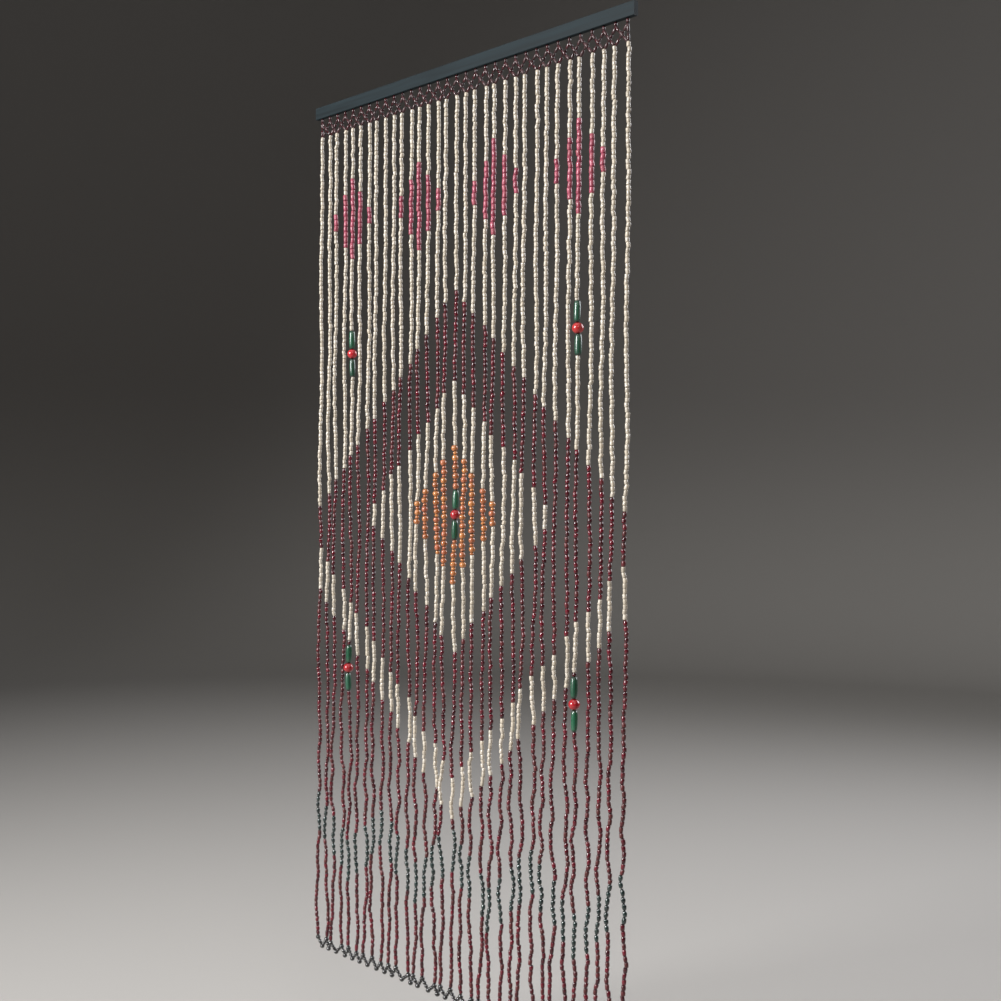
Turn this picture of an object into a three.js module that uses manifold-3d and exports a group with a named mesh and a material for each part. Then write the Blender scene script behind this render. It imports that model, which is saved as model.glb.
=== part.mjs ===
// Bead curtain on a head rail.
// Millimetres, +Z up, +X along the rail, +Y towards the wall.
// The origin is the middle of the rail's flat back.
import * as THREE from 'three';
import { mergeVertices } from 'three/addons/utils/BufferGeometryUtils.js';
import Module from 'manifold-3d';

const wasm = await Module();
wasm.setup();

// Head rail
const RAIL_LENGTH = 900;
const RAIL_HEIGHT = 25;
const RAIL_DEPTH = 10;
const RAIL_EDGE_RADIUS = 1.5;
const RAIL_EDGE_STEPS = 3;
const HOLE_DIAMETER = 5;
const HOLE_DEPTH = 8;
const HOLE_SIDES = 8;
const RAIL_UNDERSIDE = -RAIL_HEIGHT / 2;

// Strands
const STRAND_COUNT = 33;
const STRAND_PITCH = 27;
const STRAND_LENGTH = 1711;
const STRAND_WIDTH = 7;
const STRAND_PLANE = -RAIL_DEPTH / 2;
const MIDDLE_STRAND = (STRAND_COUNT - 1) / 2;
const END_UNEVENNESS = 5;
const END_TURN = 2.1;
const STRAIGHT_STEPS = 5;
const WAVY_STEPS = 12;
const WAVY_FROM = 0.5;

// Sway: each wave has a size, a length down the strand and a turn from one strand to the next
const SETTLE = { size: 3, turn: 2.4 };
const LONG_SWAY = { size: 4, length: 430, turn: 1.9 };
const SHORT_SWAY = { size: 2.5, length: 285, turn: 2.9 };
const DEPTH_SWAY = { size: 2.5, length: 390, turn: 1.3 };

// Heading net between the rail and the first beads
const NET_DROP = 40;
const POST_DROP = 8;
const POST_WIDTH = 3;
const POST_REACH = 7;
const LEG_WIDTH = 5.6;
const LEG_DEPTH = 4.4;
const LEG_STAGGER = 1.2;
const LEG_SINK = 3;
const STRAND_TOP = RAIL_UNDERSIDE - NET_DROP;
const FORK_HEIGHT = RAIL_UNDERSIDE - POST_DROP;

// Core lozenge of thick round beads, by half its height and half its width in strands
const CORE = { drop: 800, halfHeight: 129, halfStrands: 4.95, width: 11, taper: 5 };

// Large beads: a ball between two tubes, as widths along the strand from the ball's middle
const SPINDLE_HALF_LENGTH = 48;
const SPINDLE_PROFILE = [
  { along: 0, width: 19 },
  { along: 7, width: 14 },
  { along: 11, width: 8 },
  { along: 15, width: 11 },
  { along: 43, width: 11 },
  { along: SPINDLE_HALF_LENGTH, width: STRAND_WIDTH },
];
const SPINDLES = [
  { strand: 4, drop: 470 },
  { strand: 28, drop: 470 },
  { strand: 4, drop: 1125 },
  { strand: 28, drop: 1125 },
  { strand: MIDDLE_STRAND, drop: CORE.drop },
];
const STATION_CLEARANCE = 12;

// Hem border, a zigzag that links the strand ends
const HEM_DROP = 24;
const HEM_BAND = 8.5;
const HEM_FLAT = 5;
const HEM_DEPTH = 7;
const HEM_GAP = 0.3;

// Closed mesh to solid, and back
function solidOf(geometry) {
  const bare = geometry.clone();
  bare.deleteAttribute('normal');
  bare.deleteAttribute('uv');
  const merged = mergeVertices(bare);
  const vertProperties = new Float32Array(merged.attributes.position.array);
  const triVerts = new Uint32Array(merged.index.array);
  return new wasm.Manifold(new wasm.Mesh({ numProp: 3, vertProperties, triVerts }));
}

function geometryOf(solid) {
  const { vertProperties, triVerts } = solid.getMesh();
  const geometry = new THREE.BufferGeometry();
  geometry.setAttribute('position', new THREE.BufferAttribute(vertProperties, 3));
  geometry.setIndex(new THREE.BufferAttribute(triVerts, 1));
  geometry.computeVertexNormals();
  return geometry;
}

// Four-sided bar through stations from the top down, each with a level rectangular section
function bar(stations) {
  const corners = [[-0.5, -0.5], [0.5, -0.5], [0.5, 0.5], [-0.5, 0.5]];
  const sides = corners.length;
  const positions = stations.flatMap(({ centre, width, depth = width }) =>
    corners.flatMap(([across, back]) => [centre.x + across * width, centre.y + back * depth, centre.z]));
  const lastRing = (stations.length - 1) * sides;
  const topCap = [0, 1, 2, 0, 2, 3];
  const bottomCap = [0, 2, 1, 0, 3, 2].map((corner) => lastRing + corner);
  const faces = [...topCap, ...bottomCap];
  for (let ring = 0; ring < lastRing; ring += sides) {
    for (let side = 0; side < sides; side += 1) {
      const upper = ring + side;
      const upperNext = ring + (side + 1) % sides;
      faces.push(upper, upper + sides, upperNext, upperNext, upper + sides, upperNext + sides);
    }
  }
  const geometry = new THREE.BufferGeometry();
  geometry.setAttribute('position', new THREE.Float32BufferAttribute(positions, 3));
  geometry.setIndex(faces);
  return geometry;
}

// Places along a strand
function wave({ size, length, turn }, strand, drop) {
  return size * Math.sin(2 * Math.PI * drop / length + turn * strand);
}

function holeX(strand) {
  return (strand - MIDDLE_STRAND) * STRAND_PITCH;
}

function strandPoint(strand, drop) {
  const share = drop / STRAND_LENGTH;
  const slack = share * share;
  const settle = SETTLE.size * Math.sin(SETTLE.turn * strand);
  const sway = slack * (wave(LONG_SWAY, strand, drop) + wave(SHORT_SWAY, strand, drop));
  const swing = Math.sin(Math.PI * share) * wave(DEPTH_SWAY, strand, drop);
  return new THREE.Vector3(holeX(strand) + settle + sway, STRAND_PLANE + swing, STRAND_TOP - drop);
}

function strandEnd(strand) {
  return STRAND_LENGTH - END_UNEVENNESS * (1 + Math.sin(END_TURN * strand)) / 2;
}

function coreHalfHeight(strand) {
  return CORE.halfHeight * (1 - Math.abs(strand - MIDDLE_STRAND) / CORE.halfStrands);
}

function plainWidth(strand, drop) {
  return Math.abs(drop - CORE.drop) < coreHalfHeight(strand) ? CORE.width : STRAND_WIDTH;
}

// Stations of one strand: few where it hangs straight, more where it wanders, and more again at large beads
function strandStations(strand) {
  const end = strandEnd(strand);
  const straight = Array.from({ length: STRAIGHT_STEPS }, (_, step) =>
    end * WAVY_FROM * step / STRAIGHT_STEPS);
  const wavy = Array.from({ length: WAVY_STEPS + 1 }, (_, step) =>
    end * (WAVY_FROM + (1 - WAVY_FROM) * step / WAVY_STEPS));
  let rows = [...straight, ...wavy].map((drop) => ({ drop, width: plainWidth(strand, drop) }));
  const clear = (drop, reach) => {
    rows = rows.filter((row) => Math.abs(row.drop - drop) > reach + STATION_CLEARANCE);
  };
  const half = coreHalfHeight(strand);
  if (half > CORE.taper) {
    clear(CORE.drop, half);
    for (const side of [-1, 1]) {
      rows.push({ drop: CORE.drop + side * half, width: STRAND_WIDTH });
      rows.push({ drop: CORE.drop + side * (half - CORE.taper), width: CORE.width });
    }
  }
  for (const spindle of SPINDLES.filter((place) => place.strand === strand)) {
    clear(spindle.drop, SPINDLE_HALF_LENGTH);
    for (const { along, width } of SPINDLE_PROFILE) {
      const sides = along === 0 ? [1] : [-1, 1];
      for (const side of sides) {
        const drop = spindle.drop + side * along;
        const atEnd = along === SPINDLE_HALF_LENGTH;
        rows.push({ drop, width: atEnd ? plainWidth(strand, drop) : width });
      }
    }
  }
  rows.sort((first, second) => first.drop - second.drop);
  return rows.map(({ drop, width }) => ({ centre: strandPoint(strand, drop), width }));
}

// Heading net: a post out of each hole, and legs from it to the strands on either side
function postStations(strand) {
  const x = holeX(strand);
  return [RAIL_UNDERSIDE + POST_REACH, FORK_HEIGHT - LEG_SINK].map((z) => ({
    centre: new THREE.Vector3(x, STRAND_PLANE, z),
    width: POST_WIDTH,
  }));
}

function legStations(fromStrand, toStrand) {
  const stagger = Math.sign(fromStrand - toStrand) * LEG_STAGGER;
  const top = new THREE.Vector3(holeX(fromStrand), STRAND_PLANE + stagger, FORK_HEIGHT);
  const foot = strandPoint(toStrand, LEG_SINK);
  foot.y += stagger;
  return [top, foot].map((centre) => ({ centre, width: LEG_WIDTH, depth: LEG_DEPTH }));
}

function curtainBars() {
  const last = STRAND_COUNT - 1;
  const bars = [bar(legStations(0, 0)), bar(legStations(last, last))];
  for (let strand = 0; strand < STRAND_COUNT; strand += 1) {
    bars.push(bar(strandStations(strand)), bar(postStations(strand)));
    for (const neighbour of [strand - 1, strand + 1]) {
      if (neighbour >= 0 && neighbour <= last) bars.push(bar(legStations(strand, neighbour)));
    }
  }
  return bars;
}

function curtainGeometry() {
  const whole = curtainBars().map(solidOf).reduce((joined, next) => joined.add(next));
  return geometryOf(whole);
}

// Head rail: a bar with eased edges and a row of blind holes along its underside
function railSection() {
  const halfDepth = RAIL_DEPTH / 2 - RAIL_EDGE_RADIUS;
  const halfHeight = RAIL_HEIGHT / 2 - RAIL_EDGE_RADIUS;
  const quarter = Math.PI / 2;
  const section = new THREE.Shape();
  section.absarc(halfDepth, halfHeight, RAIL_EDGE_RADIUS, 0, quarter);
  section.absarc(-halfDepth, halfHeight, RAIL_EDGE_RADIUS, quarter, 2 * quarter);
  section.absarc(-halfDepth, -halfHeight, RAIL_EDGE_RADIUS, 2 * quarter, 3 * quarter);
  section.absarc(halfDepth, -halfHeight, RAIL_EDGE_RADIUS, 3 * quarter, 4 * quarter);
  return section;
}

function railGeometry() {
  const blank = new THREE.ExtrudeGeometry(railSection(), {
    depth: RAIL_LENGTH,
    bevelEnabled: false,
    curveSegments: RAIL_EDGE_STEPS,
  });
  const acrossDepth = new THREE.Vector3(0, 1, 0);
  const upHeight = new THREE.Vector3(0, 0, 1);
  const alongLength = new THREE.Vector3(1, 0, 0);
  blank.applyMatrix4(new THREE.Matrix4().makeBasis(acrossDepth, upHeight, alongLength));
  blank.translate(-RAIL_LENGTH / 2, -RAIL_DEPTH / 2, 0);
  let rail = solidOf(blank);
  for (let strand = 0; strand < STRAND_COUNT; strand += 1) {
    const radius = HOLE_DIAMETER / 2;
    const drill = new THREE.CylinderGeometry(radius, radius, 2 * HOLE_DEPTH, HOLE_SIDES);
    drill.rotateX(Math.PI / 2);
    drill.translate(holeX(strand), STRAND_PLANE, RAIL_UNDERSIDE);
    rail = rail.subtract(solidOf(drill));
  }
  return geometryOf(rail);
}

// Hem border: a flat-topped peak under each strand end and a flat-bottomed dip between every two
function hemOutline() {
  const peaks = Array.from({ length: STRAND_COUNT }, (_, strand) => {
    const end = strandPoint(strand, strandEnd(strand));
    return new THREE.Vector2(end.x, end.z - HEM_GAP);
  });
  const dips = peaks.slice(1).map((peak, strand) =>
    new THREE.Vector2((peak.x + peaks[strand].x) / 2, STRAND_TOP - STRAND_LENGTH - HEM_DROP));
  const flat = HEM_FLAT / 2;
  const upper = [];
  const lower = [];
  peaks.forEach((peak, strand) => {
    upper.push(new THREE.Vector2(peak.x - flat, peak.y), new THREE.Vector2(peak.x + flat, peak.y));
    lower.push(new THREE.Vector2(peak.x, peak.y - HEM_BAND));
    if (strand < dips.length) {
      const dip = dips[strand];
      upper.push(new THREE.Vector2(dip.x, dip.y + HEM_BAND));
      lower.push(new THREE.Vector2(dip.x - flat, dip.y), new THREE.Vector2(dip.x + flat, dip.y));
    }
  });
  return [...upper, ...lower.reverse()];
}

function hemGeometry() {
  const outline = new THREE.Shape(hemOutline());
  const geometry = new THREE.ExtrudeGeometry(outline, { depth: HEM_DEPTH, bevelEnabled: false });
  geometry.rotateX(Math.PI / 2);
  geometry.translate(0, STRAND_PLANE + HEM_DEPTH / 2, 0);
  return geometry;
}

// Finishes
const railPaint = new THREE.MeshStandardMaterial({ color: 0x41494d, roughness: 0.5, metalness: 0.2 });
const wineLacquer = new THREE.MeshStandardMaterial({ color: 0x6a1f2a, roughness: 0.3, metalness: 0 });
const blackGloss = new THREE.MeshStandardMaterial({ color: 0x141416, roughness: 0.2, metalness: 0 });

// Assembly
function piece(name, geometry, material) {
  const mesh = new THREE.Mesh(geometry, material);
  mesh.name = name;
  return mesh;
}

const beadCurtain = new THREE.Group();
beadCurtain.add(piece('head_rail', railGeometry(), railPaint));
beadCurtain.add(piece('strand_curtain', curtainGeometry(), wineLacquer));
beadCurtain.add(piece('hem_border', hemGeometry(), blackGloss));

export default beadCurtain;
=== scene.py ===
"""Looks of a bead curtain on a head rail, dressed over its fixed frame.

Sizes in the classes are millimetres, as a maker would write them down, and turn to metres when a mesh is
made. The studio is in metres. The frame's axes are +X along the rail, +Y towards the wall and +Z up, from
the middle of the rail's back.
"""

import logging
import math
from dataclasses import dataclass, field
from enum import Enum
from typing import Iterator, Sequence

import bmesh
import bpy
import numpy as np
from mathutils import Matrix, Vector


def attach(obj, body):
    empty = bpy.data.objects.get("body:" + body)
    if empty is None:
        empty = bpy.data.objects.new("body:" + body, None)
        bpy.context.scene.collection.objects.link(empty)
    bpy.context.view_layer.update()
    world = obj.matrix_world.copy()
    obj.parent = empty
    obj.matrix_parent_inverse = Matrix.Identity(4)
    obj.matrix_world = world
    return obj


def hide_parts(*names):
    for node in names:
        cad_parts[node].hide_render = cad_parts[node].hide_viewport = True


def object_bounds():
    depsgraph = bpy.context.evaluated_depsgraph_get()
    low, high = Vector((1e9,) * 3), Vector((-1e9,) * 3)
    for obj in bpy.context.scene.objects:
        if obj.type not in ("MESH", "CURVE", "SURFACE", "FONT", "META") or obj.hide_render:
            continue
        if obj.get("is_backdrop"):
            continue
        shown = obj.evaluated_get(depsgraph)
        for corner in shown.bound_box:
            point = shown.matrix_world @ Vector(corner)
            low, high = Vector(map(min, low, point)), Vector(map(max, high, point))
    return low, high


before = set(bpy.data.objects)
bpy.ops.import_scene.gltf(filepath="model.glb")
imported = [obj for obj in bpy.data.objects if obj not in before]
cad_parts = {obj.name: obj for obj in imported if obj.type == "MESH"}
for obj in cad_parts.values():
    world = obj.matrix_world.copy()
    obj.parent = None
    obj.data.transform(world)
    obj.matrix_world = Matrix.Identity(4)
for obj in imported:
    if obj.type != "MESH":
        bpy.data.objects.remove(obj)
CAD_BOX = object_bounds()

LOG = logging.getLogger("bead_curtain")
MM = 0.001
SEED = 33
IMAGE_SIDE = 1001
# Two places nearer than this, in millimetres, are one.
TOUCHING = 0.01
# Each bead takes its grain from its own place in a block of wood this wide, in millimetres.
GRAIN_BLOCK = 500.0
# Most values of a noise texture lie between these two.
NOISE_LOW = 0.3
NOISE_HIGH = 0.7
# Places of the colour sockets on a mix node, whose socket names repeat.
MIX_SHARE = 0
MIX_FIRST = 6
MIX_SECOND = 7
MIX_RESULT = 2


class Kind(Enum):
    """Kinds of bead, each named for its colour, its form or its place."""

    CREAM = "cream"
    MAROON = "maroon"
    TEAL = "teal"
    PINK = "pink"
    ORANGE = "orange"
    SPACER = "spacer"
    BALL = "ball"
    TUBE = "tube"
    NET = "net"
    HEM = "hem"


class BeadValue(Enum):
    """Values that each point of a bead carries for its finish."""

    TONE = "bead_tone"
    HUE = "bead_hue"
    END = "bead_end"
    PLACE = "bead_place"


def linear(hex_colour: str) -> tuple[float, float, float, float]:
    """Turn an sRGB hex colour into the linear colour that shaders take.

    Args:
        hex_colour: six hex digits after a hash sign.

    Returns:
        Red, green and blue in linear light, and an alpha of one.
    """
    parts = [int(hex_colour[place:place + 2], 16) / 255.0 for place in (1, 3, 5)]
    lit = [part / 12.92 if part <= 0.04045 else ((part + 0.055) / 1.055) ** 2.4 for part in parts]
    return lit[0], lit[1], lit[2], 1.0


def add_node(
    tree: bpy.types.NodeTree,
    kind: str,
    settings: dict[str, object] | None = None,
    inputs: dict[str | int, object] | None = None,
) -> bpy.types.Node:
    """Add one node with its settings, input values and links.

    Args:
        tree: node tree that gets the node.
        kind: Blender's name for the node type.
        settings: node properties by name.
        inputs: values, or sockets to link from, by input name or place.

    Returns:
        The new node.
    """
    node = tree.nodes.new(kind)
    for name, value in (settings or {}).items():
        setattr(node, name, value)
    for name, value in (inputs or {}).items():
        if isinstance(value, bpy.types.NodeSocket):
            tree.links.new(value, node.inputs[name])
        else:
            node.inputs[name].default_value = value
    return node


def new_material(name: str) -> tuple[bpy.types.Material, bpy.types.NodeTree]:
    """Make an empty node material.

    Args:
        name: what the finish is.

    Returns:
        The material and its node tree.
    """
    material = bpy.data.materials.new(name)
    material.use_nodes = True
    material.node_tree.nodes.clear()
    return material, material.node_tree


@dataclass(frozen=True)
class BeadFinish:
    """Paint, stain or lacquer on a turned bead, or the skin of a moulded one.

    From bead to bead the colour runs from light to dark and towards a second hue. A fine streak follows the
    wood's grain, and some beads shine more than others. Each bead is darker at its ends, a painted shade
    where it meets the next bead. Real grain of about 0.4 mm is too fine to show, so it is drawn four times
    as coarse.

    Attributes:
        other: second hue, which some beads lean to.
        end_shade_colour: colour of the painted shade at a bead's ends, where it meets the next bead.
        glossiest: roughness of the best polished bead.
        dullest: roughness of the most rubbed bead.
        grain_stretch: how much longer the grain is than wide.
        streak: how far the grain shifts a bead's tone.
        scuff: how far the grain shifts a bead's gloss.
        hue_from: share of the beads that keep the first hue.
        hue_share: how far a bead leans to the second hue at most.
        end_shade_from: where the painted end shade begins, from the middle to the end.
        end_shade_share: how far the end takes on the painted shade's colour.
    """

    name: str
    slot: str
    light: str
    dark: str
    other: str
    # Colour of the painted shade at each bead's ends, where it meets the next bead.
    end_shade_colour: str
    glossiest: float
    dullest: float
    coat: float
    coat_roughness: float = 0.13
    ior: float = 1.55
    grain_mm: float = 1.6
    grain_stretch: float = 5.0
    grain_depth_mm: float = 0.06
    grain_bump: float = 0.6
    streak: float = 0.35
    scuff: float = 0.4
    hue_from: float = 0.45
    hue_share: float = 0.8
    end_shade_from: float = 0.72
    end_shade_share: float = 0.85

    def build(self) -> bpy.types.Material:
        """Make the material from the values that each bead carries.

        Returns:
            The node material.
        """
        material, tree = new_material(self.name)
        tone, hue, end, place = (
            add_node(tree, "ShaderNodeAttribute", {"attribute_name": value.value}) for value in BeadValue)
        across = 1.0 / self.grain_mm
        along = across / self.grain_stretch
        stretched = add_node(tree, "ShaderNodeMapping", None, {
            "Vector": place.outputs["Vector"], "Scale": (across, across, along)})
        grain = add_node(tree, "ShaderNodeTexNoise", None, {
            "Vector": stretched.outputs["Vector"], "Scale": 1.0, "Detail": 3.0, "Roughness": 0.6})
        streak = add_node(tree, "ShaderNodeMapRange", None, {
            "Value": grain.outputs["Fac"], "From Min": NOISE_LOW, "From Max": NOISE_HIGH,
            "To Min": -self.streak, "To Max": self.streak})
        mixed = add_node(tree, "ShaderNodeMath", {"operation": "ADD", "use_clamp": True}, {
            0: tone.outputs["Fac"], 1: streak.outputs["Result"]})
        turned = add_node(tree, "ShaderNodeMapRange", None, {
            "Value": hue.outputs["Fac"], "From Min": self.hue_from, "To Max": self.hue_share})
        # Painted shade: each bead darkens towards its ends, where it meets the next bead.
        end_shade = add_node(tree, "ShaderNodeMapRange", {"interpolation_type": "SMOOTHSTEP"}, {
            "Value": end.outputs["Fac"], "From Min": self.end_shade_from, "To Max": self.end_shade_share})
        colour = linear(self.light)
        shares = (mixed.outputs["Value"], turned.outputs["Result"], end_shade.outputs["Result"])
        for share, next_colour in zip(shares, (self.dark, self.other, self.end_shade_colour)):
            blend = add_node(tree, "ShaderNodeMix", {"data_type": "RGBA"}, {
                MIX_SHARE: share, MIX_FIRST: colour, MIX_SECOND: linear(next_colour)})
            colour = blend.outputs[MIX_RESULT]
        scuffed = add_node(tree, "ShaderNodeMath", {"operation": "MULTIPLY_ADD", "use_clamp": True}, {
            0: streak.outputs["Result"], 1: self.scuff, 2: hue.outputs["Fac"]})
        gloss = add_node(tree, "ShaderNodeMapRange", None, {
            "Value": scuffed.outputs["Value"], "To Min": self.glossiest, "To Max": self.dullest})
        relief = add_node(tree, "ShaderNodeBump", None, {
            "Height": grain.outputs["Fac"], "Strength": self.grain_bump,
            "Distance": self.grain_depth_mm * MM})
        shader = add_node(tree, "ShaderNodeBsdfPrincipled", None, {
            "Base Color": colour, "Roughness": gloss.outputs["Result"],
            "Normal": relief.outputs["Normal"], "IOR": self.ior,
            "Coat Weight": self.coat, "Coat Roughness": self.coat_roughness, "Coat IOR": self.ior})
        add_node(tree, "ShaderNodeOutputMaterial", None, {"Surface": shader.outputs["BSDF"]})
        return material


@dataclass(frozen=True)
class RailFinish:
    """Satin powder coat on a drawn bar: an even dull grey with faint rubbed streaks along its length.

    A real coat's orange-peel skin is finer than a millimetre, too fine to show, and is drawn at 1.4 mm.
    """

    name: str = "rail_powder_coat"
    light: str = "#212B2F"
    dark: str = "#1A2124"
    glossiest: float = 0.5
    dullest: float = 0.6
    specular: float = 0.1
    ior: float = 1.5
    peel_mm: float = 1.4
    peel_depth_mm: float = 0.08
    peel_bump: float = 0.4
    streak_mm: float = 9.0
    streak_stretch: float = 25.0
    streak_low: float = 0.35
    streak_high: float = 0.65

    def build(self) -> bpy.types.Material:
        """Make the material on object coordinates.

        Returns:
            The node material.
        """
        material, tree = new_material(self.name)
        place = add_node(tree, "ShaderNodeTexCoord")
        peel = add_node(tree, "ShaderNodeTexNoise", None, {
            "Vector": place.outputs["Object"], "Scale": 1.0 / (self.peel_mm * MM), "Detail": 2.0})
        drawn = add_node(tree, "ShaderNodeMapping", None, {
            "Vector": place.outputs["Object"], "Scale": (1.0 / self.streak_stretch, 1.0, 1.0)})
        streaks = add_node(tree, "ShaderNodeTexNoise", None, {
            "Vector": drawn.outputs["Vector"], "Scale": 1.0 / (self.streak_mm * MM), "Detail": 4.0,
            "Roughness": 0.65})
        share = add_node(tree, "ShaderNodeMapRange", None, {
            "Value": streaks.outputs["Fac"], "From Min": self.streak_low, "From Max": self.streak_high})
        colour = add_node(tree, "ShaderNodeMix", {"data_type": "RGBA"}, {
            MIX_SHARE: share.outputs["Result"],
            MIX_FIRST: linear(self.dark), MIX_SECOND: linear(self.light)})
        gloss = add_node(tree, "ShaderNodeMapRange", None, {
            "Value": streaks.outputs["Fac"], "From Min": NOISE_LOW, "From Max": NOISE_HIGH,
            "To Min": self.glossiest, "To Max": self.dullest})
        relief = add_node(tree, "ShaderNodeBump", None, {
            "Height": peel.outputs["Fac"], "Strength": self.peel_bump, "Distance": self.peel_depth_mm * MM})
        shader = add_node(tree, "ShaderNodeBsdfPrincipled", None, {
            "Base Color": colour.outputs[MIX_RESULT], "Roughness": gloss.outputs["Result"],
            "Normal": relief.outputs["Normal"], "IOR": self.ior, "Specular IOR Level": self.specular})
        add_node(tree, "ShaderNodeOutputMaterial", None, {"Surface": shader.outputs["BSDF"]})
        return material


@dataclass(frozen=True)
class ThreadFinish:
    """Twisted nylon thread: two plies that wind round each other, with a soft sheen.

    Real plies cross every 1.2 mm, too fine to show, so they are drawn coarser, about 15 mm apart: a wave
    texture draws a band every 0.63 of its units, and its unit is set to 24 mm.
    """

    name: str = "twisted_nylon_thread"
    slot: str = "thread"
    light: str = "#8C7268"
    dark: str = "#4E3A36"
    roughness: float = 0.55
    sheen: float = 0.3
    twist_unit_mm: float = 24.0
    twist_waver: float = 0.6
    twist_depth_mm: float = 0.15
    twist_bump: float = 0.5

    def build(self) -> bpy.types.Material:
        """Make the material on object coordinates.

        Returns:
            The node material.
        """
        material, tree = new_material(self.name)
        place = add_node(tree, "ShaderNodeTexCoord")
        twist = add_node(tree, "ShaderNodeTexWave", {"wave_type": "BANDS", "bands_direction": "DIAGONAL"}, {
            "Vector": place.outputs["Object"], "Scale": 1.0 / (self.twist_unit_mm * MM),
            "Distortion": self.twist_waver})
        colour = add_node(tree, "ShaderNodeMix", {"data_type": "RGBA"}, {
            MIX_SHARE: twist.outputs["Fac"],
            MIX_FIRST: linear(self.dark), MIX_SECOND: linear(self.light)})
        relief = add_node(tree, "ShaderNodeBump", None, {
            "Height": twist.outputs["Fac"], "Strength": self.twist_bump,
            "Distance": self.twist_depth_mm * MM})
        shader = add_node(tree, "ShaderNodeBsdfPrincipled", None, {
            "Base Color": colour.outputs[MIX_RESULT], "Roughness": self.roughness,
            "Normal": relief.outputs["Normal"], "Sheen Weight": self.sheen})
        add_node(tree, "ShaderNodeOutputMaterial", None, {"Surface": shader.outputs["BSDF"]})
        return material


@dataclass(frozen=True)
class StageFinish:
    """Matt paper of a studio sweep: pale on the floor, greyer up the wall as painted shade, with a faint
    mottle.
    """

    name: str = "studio_paper"
    floor: str = "#B0ADA9"
    # The wall's grey is painted shade, darker than the floor as if less light reached it.
    wall: str = "#8A8784"
    roughness: float = 0.9
    specular: float = 0.1
    mottle_mm: float = 600.0
    mottle_reach_mm: float = 50.0

    def build(self, floor_height: float, full_shade_height: float) -> bpy.types.Material:
        """Make the material on object coordinates.

        Args:
            floor_height: height of the floor in metres.
            full_shade_height: height in metres from which the wall has its full painted shade.

        Returns:
            The node material.
        """
        material, tree = new_material(self.name)
        place = add_node(tree, "ShaderNodeTexCoord")
        parts = add_node(tree, "ShaderNodeSeparateXYZ", None, {"Vector": place.outputs["Object"]})
        mottle = add_node(tree, "ShaderNodeTexNoise", None, {
            "Vector": place.outputs["Object"], "Scale": 1.0 / (self.mottle_mm * MM), "Detail": 2.0})
        height = add_node(tree, "ShaderNodeMath", {"operation": "MULTIPLY_ADD"}, {
            0: mottle.outputs["Fac"], 1: self.mottle_reach_mm * MM, 2: parts.outputs["Z"]})
        # Painted shade: the paper turns from the floor's colour to the wall's grey with height.
        share = add_node(tree, "ShaderNodeMapRange", {"interpolation_type": "SMOOTHSTEP"}, {
            "Value": height.outputs["Value"], "From Min": floor_height, "From Max": full_shade_height})
        colour = add_node(tree, "ShaderNodeMix", {"data_type": "RGBA"}, {
            MIX_SHARE: share.outputs["Result"],
            MIX_FIRST: linear(self.floor), MIX_SECOND: linear(self.wall)})
        shader = add_node(tree, "ShaderNodeBsdfPrincipled", None, {
            "Base Color": colour.outputs[MIX_RESULT], "Roughness": self.roughness,
            "Specular IOR Level": self.specular})
        add_node(tree, "ShaderNodeOutputMaterial", None, {"Surface": shader.outputs["BSDF"]})
        return material


# In each finish below, the colour at the bead ends is painted shade where the beads meet.
# Brushed satin paint on turned wood: a broad soft sheen, and only faint painted shade where the beads meet.
CREAM_PAINT = BeadFinish(
    name="cream_satin_paint", slot="cream_bead", light="#C6BDB0", dark="#A69C8C", other="#BCB09D",
    end_shade_colour="#B2A796", glossiest=0.3, dullest=0.5, coat=0.2)
# Dipped gloss lacquer over a wine stain: deep red, with bright glints on the best polished beads.
MAROON_LACQUER = BeadFinish(
    name="maroon_gloss_lacquer", slot="maroon_bead", light="#691324", dark="#350A12", other="#501512",
    end_shade_colour="#2C0A12", glossiest=0.09, dullest=0.5, coat=0.2)
# The same maroon lacquer, darkened as painted shade on the slim beads of the net: they look brown, with few
# glints.
SHADED_NET_LACQUER = BeadFinish(
    name="shaded_maroon_lacquer", slot="maroon_bead", light="#421219", dark="#280A0E", other="#38171A",
    end_shade_colour="#140506", glossiest=0.18, dullest=0.5, coat=0.1)
# Dipped gloss lacquer over a blue-green stain: nearly black, and teal only where light falls on it.
TEAL_LACQUER = BeadFinish(
    name="teal_gloss_lacquer", slot="teal_bead", light="#1E3230", dark="#0F1C1B", other="#1A2B27",
    end_shade_colour="#070E0E", glossiest=0.1, dullest=0.34, coat=0.6)
# Gloss paint that handling has rubbed down: one even pink with a soft streak of light.
PINK_PAINT = BeadFinish(
    name="pink_gloss_paint", slot="pink_bead", light="#AC5266", dark="#863447", other="#964350",
    end_shade_colour="#8C3B4E", glossiest=0.28, dullest=0.54, coat=0.12)
# Clear gloss over an orange stain: the wood shows through, and each bead takes the stain differently.
ORANGE_STAIN = BeadFinish(
    name="orange_gloss_stain", slot="orange_bead", light="#C07E46", dark="#96552F", other="#A4553A",
    end_shade_colour="#4E2A16", glossiest=0.2, dullest=0.42, coat=0.5)
# Gloss paint on large balls: a strong even red with one clear light on each.
RED_PAINT = BeadFinish(
    name="red_gloss_paint", slot="red_bead", light="#B41A26", dark="#8C0F1A", other="#A6211B",
    end_shade_colour="#500A0F", glossiest=0.22, dullest=0.36, coat=0.4)
# Gloss paint on long tubes: a deep green with one long streak of light down each.
GREEN_PAINT = BeadFinish(
    name="green_gloss_paint", slot="green_bead", light="#205A3F", dark="#103824", other="#184836",
    end_shade_colour="#081E14", glossiest=0.24, dullest=0.4, coat=0.4)
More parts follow.
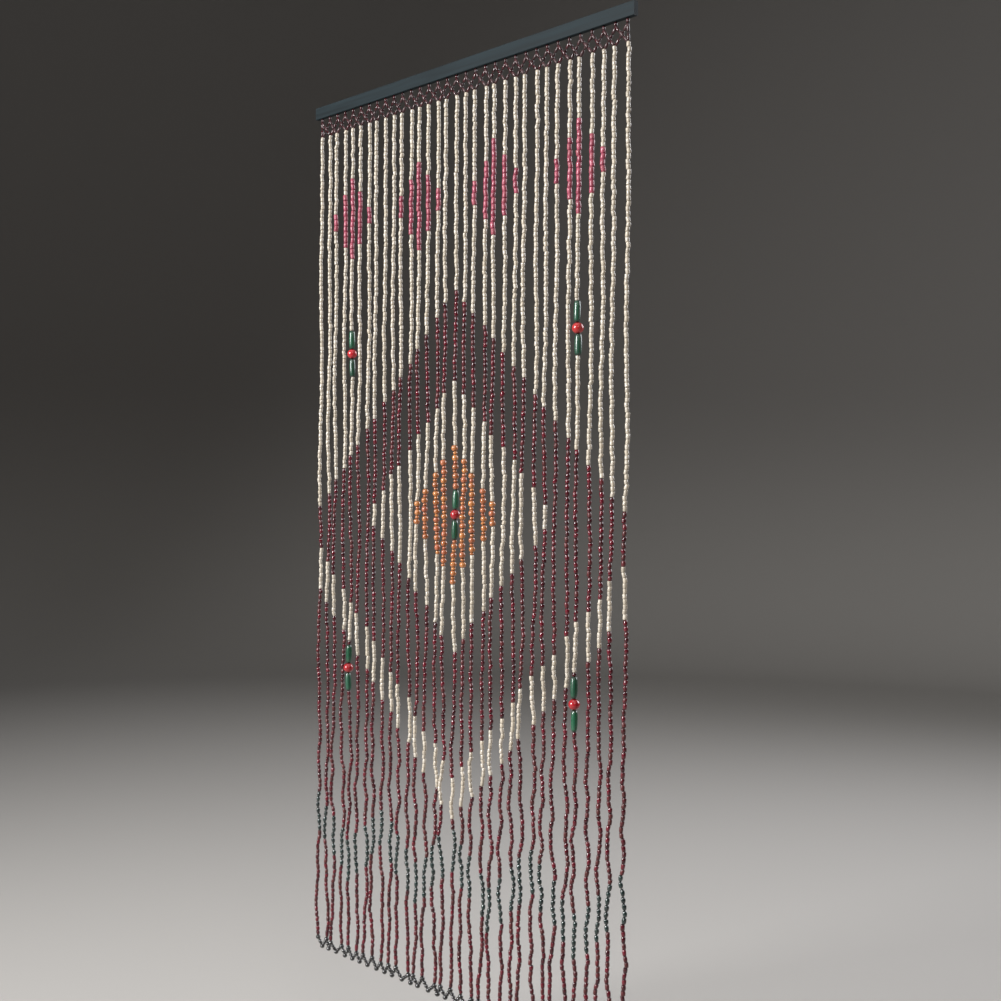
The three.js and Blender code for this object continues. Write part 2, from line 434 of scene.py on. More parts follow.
# Moulded glossy plastic: black and nearly without grain, with small sharp glints.
BLACK_PLASTIC = BeadFinish(
    name="black_moulded_plastic", slot="black_bead", light="#121214", dark="#060607", other="#0C0D10",
    end_shade_colour="#030303", glossiest=0.05, dullest=0.12, coat=1.0, grain_depth_mm=0.01)
RAIL_COAT = RailFinish()
NYLON_THREAD = ThreadFinish()
STUDIO_PAPER = StageFinish()


@dataclass(frozen=True)
class BeadForm:
    """Mesh of one modelled bead in millimetres, its hole along Z.

    Attributes:
        points: corner places.
        corners: corner numbers of all faces in a row.
        starts: where each face begins in that row.
        ends: how near each point is to the bead's ends, from 0 to 1.
    """

    points: np.ndarray
    corners: np.ndarray
    starts: np.ndarray
    ends: np.ndarray


@dataclass(frozen=True)
class BeadShape:
    """A turned bead: its size, and rings as shares of half its length and half its width.

    Points whose heights differ by less than same_level, a share of the length, are one ring.
    """

    length: float
    width: float
    rings: tuple[tuple[float, float], ...]
    sides: int = 12
    same_level: float = 0.005

    def model(self) -> BeadForm:
        """Model the bead as a cylinder that is bisected into rings, each drawn in to its width.

        Returns:
            The bead's mesh as arrays.
        """
        half = self.length / 2
        bpy.ops.object.select_all(action="DESELECT")
        bpy.ops.mesh.primitive_cylinder_add(
            vertices=self.sides, radius=self.width / 2, depth=self.length, end_fill_type="NGON")
        bead = bpy.context.object
        bpy.ops.object.mode_set(mode="EDIT")
        for along, _ in self.rings[1:-1]:
            bpy.ops.mesh.select_all(action="SELECT")
            bpy.ops.mesh.bisect(plane_co=(0.0, 0.0, along * half), plane_no=(0.0, 0.0, 1.0))
        for along, share in self.rings:
            self._select_level(bead, along * half)
            bpy.ops.transform.resize(value=(share, share, 1.0))
        bpy.ops.object.mode_set(mode="OBJECT")
        mesh = bead.data
        form = self._read(mesh)
        bpy.data.objects.remove(bead)
        bpy.data.meshes.remove(mesh)
        return form

    def _select_level(self, bead: bpy.types.Object, level: float) -> None:
        """Select the bead's points at one height in edit mode.

        Args:
            bead: object in edit mode.
            level: height in the object's own units.
        """
        bpy.ops.mesh.select_all(action="DESELECT")
        sketch = bmesh.from_edit_mesh(bead.data)
        near = self.length * self.same_level
        for point in sketch.verts:
            point.select = abs(point.co.z - level) < near
        sketch.select_flush(True)
        bmesh.update_edit_mesh(bead.data)

    def _read(self, mesh: bpy.types.Mesh) -> BeadForm:
        """Read a mesh into arrays.

        Args:
            mesh: the modelled bead.

        Returns:
            Its arrays.
        """
        points = np.empty(len(mesh.vertices) * 3)
        mesh.vertices.foreach_get("co", points)
        points = points.reshape(-1, 3)
        corners = np.empty(len(mesh.loops), dtype=np.int64)
        mesh.loops.foreach_get("vertex_index", corners)
        starts = np.empty(len(mesh.polygons), dtype=np.int64)
        mesh.polygons.foreach_get("loop_start", starts)
        ends = np.abs(points[:, 2]) / (self.length / 2)
        return BeadForm(points, corners, starts, ends)


def mirrored(*half: tuple[float, float]) -> tuple[tuple[float, float], ...]:
    """Turn the rings of half a bead into those of the whole.

    Args:
        half: rings from the middle of the bead out to one end.

    Returns:
        The rings from end to end.
    """
    return tuple((-along, share) for along, share in reversed(half) if along > 0) + half


# Length and width in millimetres, rings from the middle out, and sides where they aren't the usual twelve.
SHAPES: dict[Kind, BeadShape] = {
    Kind.CREAM: BeadShape(8.7, 7.3, mirrored((0, 1.0), (0.84, 0.97), (1, 0.86))),
    Kind.MAROON: BeadShape(10.2, 7.5, mirrored((0, 1.0), (0.82, 0.93), (1, 0.7))),
    Kind.TEAL: BeadShape(11.7, 8.2, mirrored((0, 1.0), (0.66, 0.84), (1, 0.45))),
    Kind.PINK: BeadShape(11.0, 8.6, mirrored((0, 1.0), (0.88, 0.98), (1, 0.88))),
    Kind.ORANGE: BeadShape(11.6, 12.2, mirrored((0, 1.0), (0.5, 0.9), (0.84, 0.66), (1, 0.42))),
    Kind.SPACER: BeadShape(6.0, 8.4, mirrored((0, 1.0), (0.6, 0.9), (1, 0.6))),
    Kind.BALL: BeadShape(
        20.0, 20.0, mirrored((0, 1.0), (0.4, 0.92), (0.7, 0.71), (0.9, 0.44), (1, 0.2)), sides=24),
    Kind.TUBE: BeadShape(
        38.0, 12.4, mirrored((0.3, 1.0), (0.7, 0.93), (0.94, 0.78), (1, 0.58)), sides=20),
    Kind.NET: BeadShape(14.0, 5.8, mirrored((0, 1.0), (0.84, 0.86), (1, 0.52)), sides=10),
    Kind.HEM: BeadShape(7.8, 7.8, mirrored((0, 1.0), (0.42, 0.9), (0.8, 0.62), (1, 0.34)), sides=10),
}

FINISHES: dict[Kind, BeadFinish] = {
    Kind.CREAM: CREAM_PAINT,
    Kind.MAROON: MAROON_LACQUER,
    Kind.TEAL: TEAL_LACQUER,
    Kind.PINK: PINK_PAINT,
    Kind.ORANGE: ORANGE_STAIN,
    Kind.SPACER: ORANGE_STAIN,
    Kind.BALL: RED_PAINT,
    Kind.TUBE: GREEN_PAINT,
    Kind.NET: SHADED_NET_LACQUER,
    Kind.HEM: BLACK_PLASTIC,
}


@dataclass
class Materials:
    """All finishes of the curtain, each made once."""

    rail: bpy.types.Material = field(default_factory=RAIL_COAT.build)
    thread: bpy.types.Material = field(default_factory=NYLON_THREAD.build)
    beads: dict[str, bpy.types.Material] = field(default_factory=dict)

    def __post_init__(self) -> None:
        """Make the finish of every kind of bead."""
        for finish in FINISHES.values():
            if finish.name not in self.beads:
                self.beads[finish.name] = finish.build()

    def bead(self, kind: Kind) -> bpy.types.Material:
        """Return the finish of one kind of bead."""
        return self.beads[FINISHES[kind].name]


def bead_frames(axes: np.ndarray, turns: np.ndarray) -> np.ndarray:
    """Work out a turned frame for each bead.

    Args:
        axes: the way each bead's hole runs.
        turns: each bead's turn about its hole, in radians.

    Returns:
        One matrix a bead, with its own axes as columns.
    """
    up = axes / np.linalg.norm(axes, axis=1, keepdims=True)
    side = np.cross(np.array([0.0, 1.0, 0.0]), up)
    side /= np.linalg.norm(side, axis=1, keepdims=True)
    back = np.cross(up, side)
    cos = np.cos(turns)[:, None]
    sin = np.sin(turns)[:, None]
    return np.stack([side * cos + back * sin, back * cos - side * sin, up], axis=2)


def mesh_from_arrays(
    name: str, points: np.ndarray, corners: np.ndarray, starts: np.ndarray
) -> bpy.types.Mesh:
    """Make a smooth-shaded mesh from arrays.

    Args:
        name: mesh name.
        points: places in metres.
        corners: corner numbers of all faces in a row.
        starts: where each face begins in that row.

    Returns:
        The new mesh.
    """
    mesh = bpy.data.meshes.new(name)
    mesh.vertices.add(len(points))
    mesh.vertices.foreach_set("co", points.astype(np.float32).ravel())
    mesh.loops.add(len(corners))
    mesh.loops.foreach_set("vertex_index", corners.astype(np.int32))
    mesh.polygons.add(len(starts))
    mesh.polygons.foreach_set("loop_start", starts.astype(np.int32))
    mesh.update(calc_edges=True)
    mesh.validate()
    mesh.shade_smooth()
    return mesh


def put_values(mesh: bpy.types.Mesh, value: BeadValue, numbers: np.ndarray) -> None:
    """Store one number or one place for each point of a mesh.

    Args:
        mesh: the mesh.
        value: what the numbers are.
        numbers: one number, or a row of three, for each point.
    """
    kind, key = ("FLOAT", "value") if numbers.ndim == 1 else ("FLOAT_VECTOR", "vector")
    layer = mesh.attributes.new(value.value, kind, "POINT")
    layer.data.foreach_set(key, numbers.astype(np.float32).ravel())


def add_piece(
    name: str, mesh: bpy.types.Mesh, material: bpy.types.Material, slot: str, node: str
) -> None:
    """Add a mesh as one piece that rides on the frame's root, and hide the frame's node that it stands for.

    Args:
        name: the piece's name.
        mesh: its mesh, in metres.
        material: its finish.
        slot: the record's material slot; not used.
        node: the frame's node that it stands for.
    """
    mesh.materials.append(material)
    piece = bpy.data.objects.new(name, mesh)
    bpy.context.collection.objects.link(piece)
    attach(piece, "root")
    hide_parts(node)
    LOG.info("piece %s: %d faces", piece.name, len(piece.data.polygons))


@dataclass(frozen=True)
class Bead:
    """One bead on its thread.

    Attributes:
        centre: its middle, in millimetres.
        axis: the way its hole runs.
        length: its length in millimetres.
        girth: its width as a share of its kind's own.
    """

    centre: np.ndarray
    axis: np.ndarray
    length: float
    girth: float


@dataclass
class BeadHeap:
    """Beads of one kind, gathered one by one and joined into one mesh."""

    kind: Kind
    beads: list[Bead] = field(default_factory=list)

    def build(self, name: str, node: str, materials: Materials, random: np.random.Generator) -> None:
        """Join the heap into one piece, with the values that its finish reads.

        Args:
            name: the piece's name.
            node: the frame's node that it stands for.
            materials: the finishes.
            random: source of the turn, tone and grain of each bead.
        """
        shape = SHAPES[self.kind]
        form = shape.model()
        count = len(self.beads)
        centres = np.array([bead.centre for bead in self.beads])
        axes = np.array([bead.axis for bead in self.beads])
        girths = np.array([bead.girth for bead in self.beads])
        lengths = np.array([bead.length for bead in self.beads])
        frames = bead_frames(axes, random.uniform(0, 2 * math.pi, count))
        scale = np.stack([girths, girths, lengths / shape.length], axis=1)
        local = form.points[None, :, :] * scale[:, None, :]
        placed = np.einsum("bij,bpj->bpi", frames, local) + centres[:, None, :]
        per_bead = len(form.points)
        corners = (form.corners[None, :] + per_bead * np.arange(count)[:, None]).ravel()
        starts = (form.starts[None, :] + len(form.corners) * np.arange(count)[:, None]).ravel()
        mesh = mesh_from_arrays(name, placed.reshape(-1, 3) * MM, corners, starts)
        grain_start = random.uniform(0, GRAIN_BLOCK, (count, 1, 3))
        put_values(mesh, BeadValue.TONE, np.repeat(random.uniform(0, 1, count), per_bead))
        put_values(mesh, BeadValue.HUE, np.repeat(random.uniform(0, 1, count), per_bead))
        put_values(mesh, BeadValue.END, np.tile(form.ends, count))
        put_values(mesh, BeadValue.PLACE, (local + grain_start).reshape(-1, 3))
        add_piece(name, mesh, materials.bead(self.kind), FINISHES[self.kind].slot, node)


@dataclass(frozen=True)
class Wave:
    """One sway of the strands: its size, its length down a strand and its turn from strand to strand."""

    size: float
    length: float
    turn: float

    def at(self, strand: int, drop: float) -> float:
        """Return the sway of one strand at one drop."""
        return self.size * math.sin(2 * math.pi * drop / self.length + self.turn * strand)


@dataclass(frozen=True)
class Spindle:
    """A ball between two tubes on one strand, by the drop of the ball's middle."""

    strand: int
    drop: float


@dataclass(frozen=True)
class BeadDesign:
    """Layout of the colours: nested lozenges, a chevron, small diamonds and a zigzag.

    Drops are millimetres below the first bead, and widths are counted in strands from the middle one. The
    core, the ring and the chevron are shares of the lozenge.
    """

    lozenge_drop: float = 800.0
    lozenge_half_height: float = 430.0
    lozenge_half_strands: float = 16.5
    core_share: float = 0.30
    ring_share: float = 0.60
    chevron_from: float = 1.16
    chevron_to: float = 1.36
    diamond_drop: float = 190.0
    diamond_half_height: float = 85.0
    diamond_half_strands: float = 2.6
    diamond_places: tuple[int, ...] = (4, 12)
    zigzag_drop: float = 1400.0
    zigzag_rise: float = 90.0
    zigzag_band: float = 80.0
    zigzag_repeat: int = 8

    def kind(self, across: int, drop: float) -> Kind:
        """Return the kind of bead at one place.

        Args:
            across: strands from the middle one.
            drop: millimetres below the first bead.

        Returns:
            The kind of bead there.
        """
        away = abs(across)
        reach = away / self.lozenge_half_strands + abs(drop - self.lozenge_drop) / self.lozenge_half_height
        if reach < self.core_share:
            return Kind.ORANGE
        if reach < self.ring_share:
            return Kind.CREAM
        if reach < 1.0:
            return Kind.MAROON
        if drop < self.lozenge_drop:
            return Kind.PINK if self._in_diamond(away, drop) else Kind.CREAM
        if self.chevron_from < reach < self.chevron_to:
            return Kind.CREAM
        return Kind.TEAL if self._in_zigzag(across, drop) else Kind.MAROON

    def _in_diamond(self, away: int, drop: float) -> bool:
        """Tell whether a place is in one of the small diamonds.

        Args:
            away: strands from the middle one, to either side.
            drop: millimetres below the first bead.

        Returns:
            True in a diamond.
        """
        aside = min(abs(away - place) for place in self.diamond_places)
        below = abs(drop - self.diamond_drop)
        return aside / self.diamond_half_strands + below / self.diamond_half_height < 1.0

    def _in_zigzag(self, across: int, drop: float) -> bool:
        """Tell whether a place is in the zigzag band.

        Args:
            across: strands from the middle one.
            drop: millimetres below the first bead.

        Returns:
            True in the band.
        """
        half = self.zigzag_repeat / 2
        share = abs((across + half) % self.zigzag_repeat - half) / half
        top = self.zigzag_drop + self.zigzag_rise * share
        return top < drop < top + self.zigzag_band


@dataclass
class StrandCurtain:
    """The strands of beads, each on its own thread, hanging from the heading net.

    The long and short sways and the settling are those of the solids. The ripple and the wobble are added
    here: the ripple is strongest where the strands hang slack, at one share of their length.
    """

    count: int = 33
    pitch: float = 27.0
    length: float = 1711.0
    top: float = -52.5
    plane: float = -5.0
    end_unevenness: float = 5.0
    end_turn: float = 2.1
    settle_size: float = 3.0
    settle_turn: float = 2.4
    long_sway: Wave = Wave(4.0, 430.0, 1.9)
    short_sway: Wave = Wave(2.5, 285.0, 2.9)
    depth_sway: Wave = Wave(2.5, 390.0, 1.3)
    ripple: Wave = Wave(6.0, 104.0, 2.4)
    ripple_floor: float = 0.3
    ripple_share: float = 0.8
    ripple_reach: float = 0.09
    ripple_spread: float = 0.15
    ripple_spread_turn: float = 1.7
    wobble: Wave = Wave(0.9, 46.0, 2.7)
    spindles: tuple[Spindle, ...] = (
        Spindle(4, 470.0), Spindle(28, 470.0), Spindle(4, 1125.0), Spindle(28, 1125.0), Spindle(16, 800.0))
    spindle_beads: tuple[Kind, ...] = (Kind.TUBE, Kind.BALL, Kind.TUBE)
    design: BeadDesign = BeadDesign()
    plentiful: tuple[Kind, ...] = (Kind.CREAM, Kind.MAROON)
    length_spread: float = 0.12
    longest_last: float = 1.5
    bead_fill: float = 0.985
    girth_spread: float = 0.06
    offset: float = 0.7
    lean: float = 1.7
    thread_step: float = 14.0

    @property
    def middle(self) -> int:
        """Number of the middle strand."""
        return self.count // 2

    def hole_x(self, strand: int) -> float:
        """Return how far along the rail a strand's hole is."""
        return (strand - self.middle) * self.pitch

    def end(self, strand: int) -> float:
        """Return the length of one strand."""
        return self.length - self.end_unevenness * (1 + math.sin(self.end_turn * strand)) / 2

    def point(self, strand: int, drop: float) -> np.ndarray:
        """Return a strand's place at one drop.

        Args:
            strand: number of the strand, from the left.
            drop: millimetres below the first bead.

        Returns:
            The place in millimetres.
        """
        share = drop / self.length
        slack = share * share
        settle = self.settle_size * math.sin(self.settle_turn * strand)
        swell = math.exp(-((share - self.ripple_share) / self.ripple_reach) ** 2)
        buckle = self.ripple_floor + (1 - self.ripple_floor) * swell
        stretch = 1 + self.ripple_spread * math.sin(self.ripple_spread_turn * strand)
        ripple = buckle * self.ripple.at(strand, drop / stretch)
        sway = slack * (self.long_sway.at(strand, drop) + self.short_sway.at(strand, drop) + ripple)
        sway += self.wobble.at(strand, drop / stretch)
        swing = math.sin(math.pi * share) * self.depth_sway.at(strand, drop)
        return np.array([self.hole_x(strand) + settle + sway, self.plane + swing, self.top - drop])

    def walk(self, strand: int, random: np.random.Generator) -> Iterator[tuple[Kind, float, float]]:
        """String one strand from the top, bead after bead.

        Args:
            strand: number of the strand, from the left.
            random: source of the small differences in length.

        Yields:
            The kind, the drop of the middle and the length of each bead.
        """
        end = self.end(strand)
        big = sorted(spindle.drop for spindle in self.spindles if spindle.strand == strand)
        spindle_length = sum(SHAPES[kind].length for kind in self.spindle_beads)
        drop = 0.0
        spacer_next = False
        while drop < end - TOUCHING:
            stop = big[0] - spindle_length / 2 if big else end
            if big and stop - drop < TOUCHING:
                big.pop(0)
                for kind in self.spindle_beads:
                    yield kind, drop + SHAPES[kind].length / 2, SHAPES[kind].length
                    drop += SHAPES[kind].length
                continue
            kind = self.design.kind(strand - self.middle, drop + SHAPES[Kind.CREAM].length / 2)
            if kind is Kind.ORANGE:
                kind = Kind.SPACER if spacer_next else Kind.ORANGE
                spacer_next = not spacer_next
            usual = SHAPES[kind].length
            length = usual * (1 + random.uniform(-self.length_spread, self.length_spread))
            if stop - drop < self.longest_last * usual:
                length = stop - drop
            yield kind, drop + length / 2, length
            drop += length

    def string(self, random: np.random.Generator) -> dict[tuple[Kind, bool], BeadHeap]:
        """String every strand and heap its beads by kind and side.

        Args:
            random: source of the small differences between beads.

        Returns:
            Heaps by kind, and by whether the strand is right of the middle.
        """
        heaps: dict[tuple[Kind, bool], BeadHeap] = {}
        level = np.array([1.0, 1.0, 0.0])
        for strand in range(self.count):
            right = strand >= self.middle
            for kind, drop, length in self.walk(strand, random):
                heap = heaps.setdefault((kind, right), BeadHeap(kind))
                above = self.point(strand, drop - length / 2)
                below = self.point(strand, drop + length / 2)
                lean = random.uniform(-self.lean, self.lean, 3)
                shift = random.uniform(-self.offset, self.offset, 3) * level
                girth = 1 + random.uniform(-self.girth_spread, self.girth_spread)
                centre = (above + below) / 2 + shift
                heap.beads.append(Bead(centre, above - below + lean, length * self.bead_fill, girth))
        return heaps

    def thread_paths(self) -> list[np.ndarray]:
        """Lay the thread down each strand.

        Returns:
            One route a strand, in millimetres.
        """
        paths = []
        for strand in range(self.count):
            drops = np.linspace(0.0, self.end(strand), int(self.end(strand) / self.thread_step))
            paths.append(np.array([self.point(strand, drop) for drop in drops]))
        return paths

    def build(self, materials: Materials, random: np.random.Generator) -> None:
        """Make the beads as joined pieces, in two halves where a colour is plentiful.

        Args:
            materials: the finishes.
            random: source of the small differences between beads.
        """
        heaps = self.string(random)
        for kind in Kind:
            halves = [heaps[kind, right] for right in (False, True) if (kind, right) in heaps]
            if not halves:
                continue
            if kind in self.plentiful:
                named = list(zip((f"{kind.value}_beads_left", f"{kind.value}_beads_right"), halves))
            else:
                beads = [bead for half in halves for bead in half.beads]
                named = [(f"{kind.value}_beads", BeadHeap(kind, beads))]
            for name, heap in named:
                heap.build(name, "strand_curtain", materials, random)


@dataclass
class HeadingNet:
    """Net of small beads between the rail and the strands, its legs crossing between every two strands."""

    curtain: StrandCurtain
    rail_underside: float = -12.5
    rail_gap: float = 0.5
    fork_drop: float = 8.0
    stagger: float = 1.5
    bead_pitch: float = 14.0
    bead_fill: float = 0.95
    girth_spread: float = 0.06
    lean: float = 0.03
    reach_into_hole: float = 6.0

    @property
    def fork_level(self) -> float:
        """Height at which each post forks into two legs."""
        return self.rail_underside - self.fork_drop

    def legs(self) -> Iterator[tuple[np.ndarray, np.ndarray]]:
        """Give the two ends of each short post under the rail, and of the two legs that spread from it.

        Yields:
            The upper and the lower end, in millimetres.
        """
        last = self.curtain.count - 1
        for strand in range(self.curtain.count):
            hole = self.curtain.hole_x(strand)
            fork = np.array([hole, self.curtain.plane, self.fork_level])
            yield np.array([hole, self.curtain.plane, self.rail_underside - self.rail_gap]), fork
            for other in (max(strand - 1, 0), min(strand + 1, last)):
                aside = np.array([0.0, float(np.sign(strand - other)) * self.stagger, 0.0])
                yield fork + aside, self.curtain.point(other, 0.0) + aside

    def string(self, random: np.random.Generator) -> BeadHeap:
        """String every leg with small beads.

        Args:
            random: source of the small differences between beads.

        Returns:
            The beads of the net.
        """
        heap = BeadHeap(Kind.NET)
        for top, foot in self.legs():
            span = float(np.linalg.norm(top - foot))
            beads = max(1, round(span / self.bead_pitch))
            for place in range(beads):
                share = (place + 0.5) / beads
                lean = random.uniform(-self.lean, self.lean, 3) * span
                girth = 1 + random.uniform(-self.girth_spread, self.girth_spread)
                length = span / beads * self.bead_fill
                heap.beads.append(Bead(top + (foot - top) * share, top - foot + lean, length, girth))
        return heap

    def thread_paths(self) -> list[np.ndarray]:
        """Lay the thread along each leg, and along each post up into its hole in the rail.

        Returns:
            One route a leg or post, in millimetres.
        """
        paths = []
        for top, foot in self.legs():
            if top[2] > self.fork_level:
                top = top + np.array([0.0, 0.0, self.reach_into_hole])
            paths.append(np.stack([top, foot]))
        return paths

    def build(self, materials: Materials, random: np.random.Generator) -> None:
        """Make the net's beads as one joined piece."""
        self.string(random).build("net_beads", "strand_curtain", materials, random)


@dataclass
class HemBorder:
    """Zigzag of round black beads that links the strand ends, with a larger bead at every turn."""

    curtain: StrandCurtain
    drop: float = 24.0
    gap: float = 0.3
    turn_width: float = 10.4
    girth_spread: float = 0.06
    lean: float = 0.2

    def corners(self) -> np.ndarray:
        """Find the zigzag's turning points, a peak under each strand and a dip between every two.

        Returns:
            The points from left to right, in millimetres.
        """
        half = self.turn_width / 2
        under = np.array([0.0, 0.0, self.gap + half])
        strands = range(self.curtain.count)
        peaks = [self.curtain.point(strand, self.curtain.end(strand)) - under for strand in strands]
        low = self.curtain.top - self.curtain.length - self.drop + half
        route = [peaks[0]]
        for first, second in zip(peaks, peaks[1:]):
            route.append(np.array([(first[0] + second[0]) / 2, self.curtain.plane, low]))
            route.append(second)
        return np.array(route)

    def string(self, random: np.random.Generator) -> BeadHeap:
        """String the zigzag with round beads.

        Args:
            random: source of the small differences between beads.

        Returns:
            The beads of the border.
        """
        heap = BeadHeap(Kind.HEM)
        shape = SHAPES[Kind.HEM]
        corners = self.corners()
        for corner in corners:
            axis = np.array([1.0, 0.0, 0.0]) + random.uniform(-self.lean, self.lean, 3)
            heap.beads.append(Bead(corner, axis, self.turn_width, self.turn_width / shape.width))
        for first, second in zip(corners, corners[1:]):
            span = second - first
            whole = float(np.linalg.norm(span))
            free = whole - self.turn_width
            beads = max(0, round(free / shape.length))
            for place in range(beads):
                share = (self.turn_width / 2 + free * (place + 0.5) / beads) / whole
                girth = 1 + random.uniform(-self.girth_spread, self.girth_spread)
                lean = random.uniform(-self.lean, self.lean, 3) * whole
                heap.beads.append(Bead(first + span * share, span + lean, free / beads, girth))
        return heap

    def build(self, materials: Materials, random: np.random.Generator) -> None:
        """Make the border's beads as one joined piece."""
        self.string(random).build("hem_beads", "hem_border", materials, random)


@dataclass
class Threads:
    """The thread that runs through the beads, as thin tubes."""

    width: float = 1.3
    sides: int = 5

    def build(self, name: str, paths: Sequence[np.ndarray], materials: Materials, node: str) -> None:
        """Make one joined piece of thread.

        Args:
            name: the piece's name.
            paths: the routes in millimetres.
            materials: the finishes.
            node: the frame's node that it stands for.
        """
        angles = np.arange(self.sides) * 2 * math.pi / self.sides
        ring = np.stack([np.cos(angles), np.sin(angles), np.zeros(self.sides)], axis=1) * self.width / 2
        points: list[np.ndarray] = []
        corners: list[int] = []
        starts: list[int] = []
        base = 0
        for path in paths:
            frames = bead_frames(np.gradient(path, axis=0), np.zeros(len(path)))
            points.append((np.einsum("bij,pj->bpi", frames, ring) + path[:, None, :]).reshape(-1, 3))
            self._add_faces(base, len(path), corners, starts)
            base += len(path) * self.sides
        mesh = mesh_from_arrays(name, np.concatenate(points) * MM, np.array(corners), np.array(starts))
        add_piece(name, mesh, materials.thread, NYLON_THREAD.slot, node)

    def _add_faces(self, base: int, rings: int, corners: list[int], starts: list[int]) -> None:
        """Add the faces of one tube, closed at both ends.

        Args:
            base: number of the tube's first point.
            rings: how many rings it has.
            corners: corner numbers so far.
            starts: face starts so far.
        """
        last = base + (rings - 1) * self.sides
        order = list(range(self.sides))
        faces = [[base + side for side in reversed(order)], [last + side for side in order]]
        for ring in range(rings - 1):
            low = base + ring * self.sides
            for side in order:
                after = (side + 1) % self.sides
                faces.append([low + side, low + after, low + self.sides + after, low + self.sides + side])
        for face in faces:
            starts.append(len(corners))
            corners.extend(face)


@dataclass
class HeadRail:
    """The bar that carries the curtain: its solid keeps its shape and gets its paint."""

    node: str = "head_rail"

    def build(self, materials: Materials) -> None:
        """Paint the rail's own solid.

        Args:
            materials: the finishes.
        """
        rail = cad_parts[self.node]
        rail.data.materials.clear()
        rail.data.materials.append(materials.rail)
        LOG.info("painted %s", self.node)


@dataclass(frozen=True)
class SoftLight:
    """One soft studio light, with a grid that keeps its light off the floor near it."""

    name: str
    place: tuple[float, float, float]
    width: float
    height: float
    power: float
    colour: str = "#FFFFFF"
    target: tuple[float, float, float] = (0.0, 0.0, -0.9)
    spread: float = 100.0


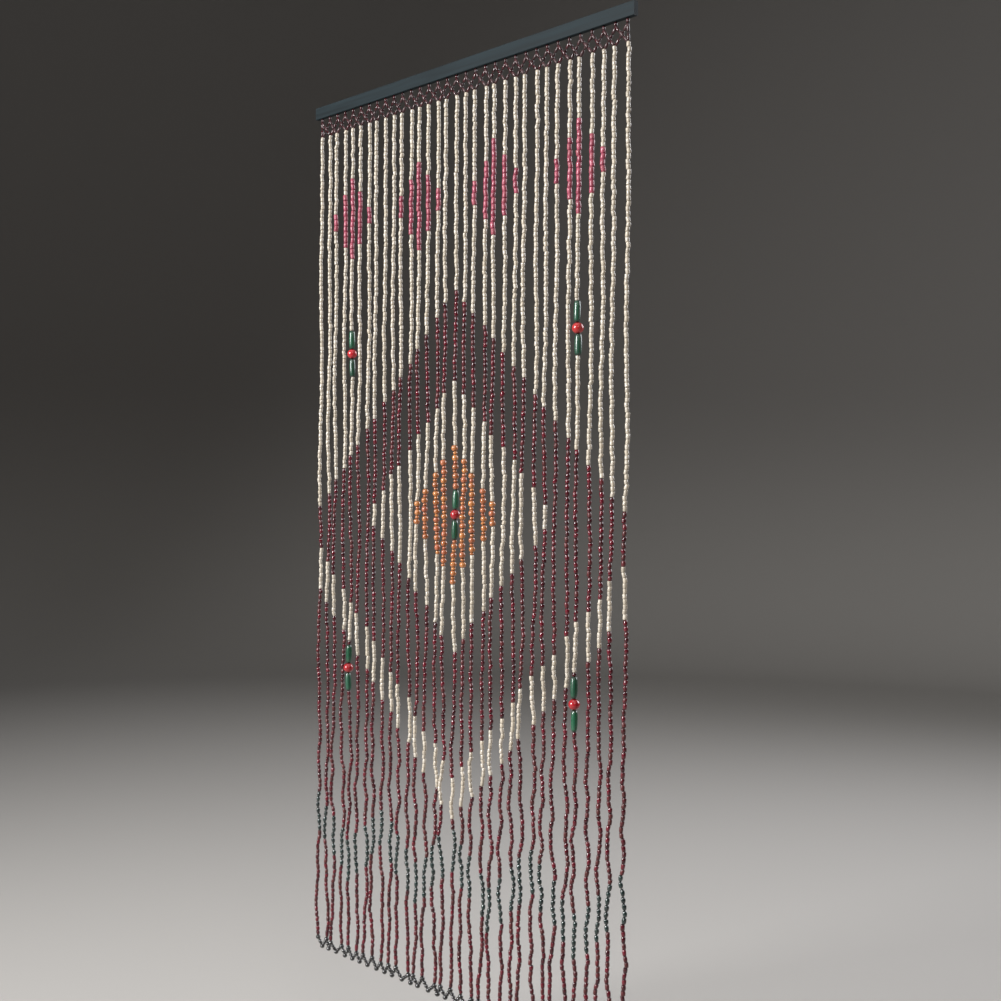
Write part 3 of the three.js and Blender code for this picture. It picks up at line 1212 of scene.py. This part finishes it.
@dataclass
class Studio:
    """Pale round sweep, soft lights and the camera, in metres."""

    floor_below_hem: float = 0.22
    sweep_radius: float = 8.5
    sweep_height: float = 7.0
    sweep_curve: float = 2.2
    sweep_sides: int = 96
    sweep_curve_steps: int = 14
    facing_up: float = 0.9
    camera_place: tuple[float, float, float] = (1.9337, -1.7152, -0.809)
    camera_yaw: float = -46.534
    camera_pitch: float = -0.351
    camera_roll: float = 0.375
    focal_pixels: float = 1348.8
    sensor_mm: float = 36.0
    lights: tuple[SoftLight, ...] = (
        SoftLight("window_light", (-1.6, -5.0, 0.9), width=1.2, height=2.8, power=172.0),
        SoftLight("fill_light", (3.4, -2.4, 1.8), width=2.0, height=2.0, power=12.0, colour="#FFF6EC"),
        SoftLight("back_light", (1.5, 5.0, 1.6), width=3.6, height=3.4, power=95.0, colour="#F6F8FF"),
        SoftLight("top_light", (0.0, -0.3, 2.6), width=3.0, height=3.0, power=14.0),
    )
    sky: str = "#DADADA"
    sky_strength: float = 0.25

    def build(self) -> None:
        """Make the sweep, the lights, the sky and the camera."""
        self._sweep()
        for light in self.lights:
            self._light(light)
        self._sky()
        self._camera()

    def _sweep(self) -> None:
        """Model the sweep as an open drum whose rim at the floor is rounded."""
        floor = CAD_BOX[0].z - self.floor_below_hem
        bpy.ops.object.select_all(action="DESELECT")
        bpy.ops.mesh.primitive_cylinder_add(
            vertices=self.sweep_sides, radius=self.sweep_radius, depth=self.sweep_height,
            end_fill_type="NGON", location=(0.0, 0.0, floor + self.sweep_height / 2))
        sweep = bpy.context.object
        sweep.name = "studio_sweep"
        bpy.ops.object.transform_apply(location=True, rotation=False, scale=False)
        bpy.ops.object.mode_set(mode="EDIT")
        bpy.ops.mesh.select_all(action="DESELECT")
        sketch = bmesh.from_edit_mesh(sweep.data)
        for face in sketch.faces:
            face.select = face.normal.z > self.facing_up
        bmesh.update_edit_mesh(sweep.data)
        bpy.ops.mesh.delete(type="FACE")
        bpy.ops.mesh.select_all(action="DESELECT")
        sketch = bmesh.from_edit_mesh(sweep.data)
        for edge in sketch.edges:
            edge.select = all(abs(point.co.z - floor) < MM for point in edge.verts)
        bmesh.update_edit_mesh(sweep.data)
        bpy.ops.mesh.bevel(offset=self.sweep_curve, segments=self.sweep_curve_steps, affect="EDGES")
        bpy.ops.mesh.select_all(action="SELECT")
        bpy.ops.mesh.flip_normals()
        bpy.ops.object.mode_set(mode="OBJECT")
        bpy.ops.object.shade_smooth()
        sweep.data.materials.append(STUDIO_PAPER.build(floor, floor + self.sweep_curve))
        sweep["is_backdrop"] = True

    def _light(self, soft: SoftLight) -> None:
        """Add one soft light.

        Args:
            soft: its place, size and power.
        """
        data = bpy.data.lights.new(soft.name, "AREA")
        data.shape = "RECTANGLE"
        data.size = soft.width
        data.size_y = soft.height
        data.energy = soft.power
        data.spread = math.radians(soft.spread)
        data.color = linear(soft.colour)[:3]
        lamp = bpy.data.objects.new(soft.name, data)
        lamp.location = soft.place
        lamp.visible_camera = False
        away = Vector(soft.place) - Vector(soft.target)
        lamp.rotation_euler = away.to_track_quat("Z", "Y").to_euler()
        bpy.context.collection.objects.link(lamp)

    def _sky(self) -> None:
        """Set a plain soft sky."""
        world = bpy.data.worlds.new("studio_sky")
        world.use_nodes = True
        tree = world.node_tree
        tree.nodes.clear()
        glow = add_node(tree, "ShaderNodeBackground", None, {
            "Color": linear(self.sky), "Strength": self.sky_strength})
        add_node(tree, "ShaderNodeOutputWorld", None, {"Surface": glow.outputs["Background"]})
        bpy.context.scene.world = world

    def _camera(self) -> None:
        """Set the camera at the photograph's place, turn and lens."""
        data = bpy.data.cameras.new("photo_camera")
        data.sensor_fit = "HORIZONTAL"
        data.sensor_width = self.sensor_mm
        data.lens = self.focal_pixels / IMAGE_SIDE * self.sensor_mm
        yaw = math.radians(self.camera_yaw)
        pitch = math.radians(self.camera_pitch)
        roll = math.radians(self.camera_roll)
        ahead = Vector((math.sin(yaw) * math.cos(pitch), math.cos(yaw) * math.cos(pitch), math.sin(pitch)))
        level = Vector((math.cos(yaw), -math.sin(yaw), 0.0))
        above = level.cross(ahead)
        right = level * math.cos(roll) + above * math.sin(roll)
        up = above * math.cos(roll) - level * math.sin(roll)
        turn = Matrix((right, up, -ahead)).transposed()
        camera = bpy.data.objects.new("photo_camera", data)
        camera.matrix_world = Matrix.Translation(self.camera_place) @ turn.to_4x4()
        bpy.context.collection.objects.link(camera)
        bpy.context.scene.camera = camera


def write_sizes() -> None:
    """Gather the box of the solids and the box of the dressed curtain, in metres, as rows."""
    boxes = {"cad": CAD_BOX, "visual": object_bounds()}
    rows = {name: [list(corner) for corner in box] for name, box in boxes.items()}


def main() -> None:
    """Build the stage, the finishes and each part of the curtain in order."""
    logging.basicConfig(level=logging.INFO, format="%(message)s")
    random = np.random.default_rng(SEED)
    Studio().build()
    materials = Materials()
    curtain = StrandCurtain()
    net = HeadingNet(curtain)
    hem = HemBorder(curtain)
    threads = Threads()
    HeadRail().build(materials)
    curtain.build(materials, random)
    net.build(materials, random)
    hem.build(materials, random)
    threads.build("strand_threads", curtain.thread_paths(), materials, "strand_curtain")
    threads.build("net_threads", net.thread_paths(), materials, "strand_curtain")
    threads.build("hem_thread", [hem.corners()], materials, "hem_border")
    bpy.context.scene.view_settings.view_transform = "Standard"
    write_sizes()


if __name__ == "__main__":
    main()
